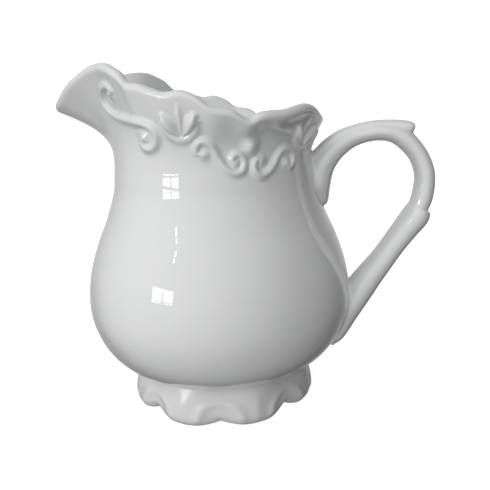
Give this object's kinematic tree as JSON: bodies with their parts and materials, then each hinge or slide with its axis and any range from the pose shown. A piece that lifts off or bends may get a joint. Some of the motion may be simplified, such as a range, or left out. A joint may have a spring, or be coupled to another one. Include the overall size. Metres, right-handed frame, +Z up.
{
  "type": "cream jug",
  "caption": "Pot-bellied porcelain cream jug with a scalloped rim, raised pouring spout, looped leaf-topped handle, lobed foot ring and moulded scrollwork under the rim.",
  "frame": {"origin": "on the table under the middle of the whole jug, spout to handle", "axes": "+X towards the handle, -X towards the spout, +Y across the jug, +Z up; the jug's own axis stands at x = -8.85 mm"},
  "size_m": [0.104, 0.075, 0.0942],
  "materials": {
    "porcelain": "white porcelain under a clear, very glossy glaze",
    "relief": "white porcelain relief, its edges softened by the same clear glaze",
    "foot_ring": "glazed white porcelain with a bare, wiped standing edge"
  },
  "bodies": {
    "root": {"body": "porcelain", "foot": "foot_ring", "handle": "porcelain", "spout_scroll_left": "relief", "spout_scroll_right": "relief", "front_palmette_left": "relief", "front_palmette_right": "relief", "front_scroll_left": "relief", "front_scroll_right": "relief", "bud_left": "relief", "bud_right": "relief", "rear_scroll_left": "relief", "rear_scroll_right": "relief", "rear_palmette_left": "relief", "rear_palmette_right": "relief", "handle_spray_left": "relief", "handle_spray_right": "relief"}
  },
  "joints": []
}
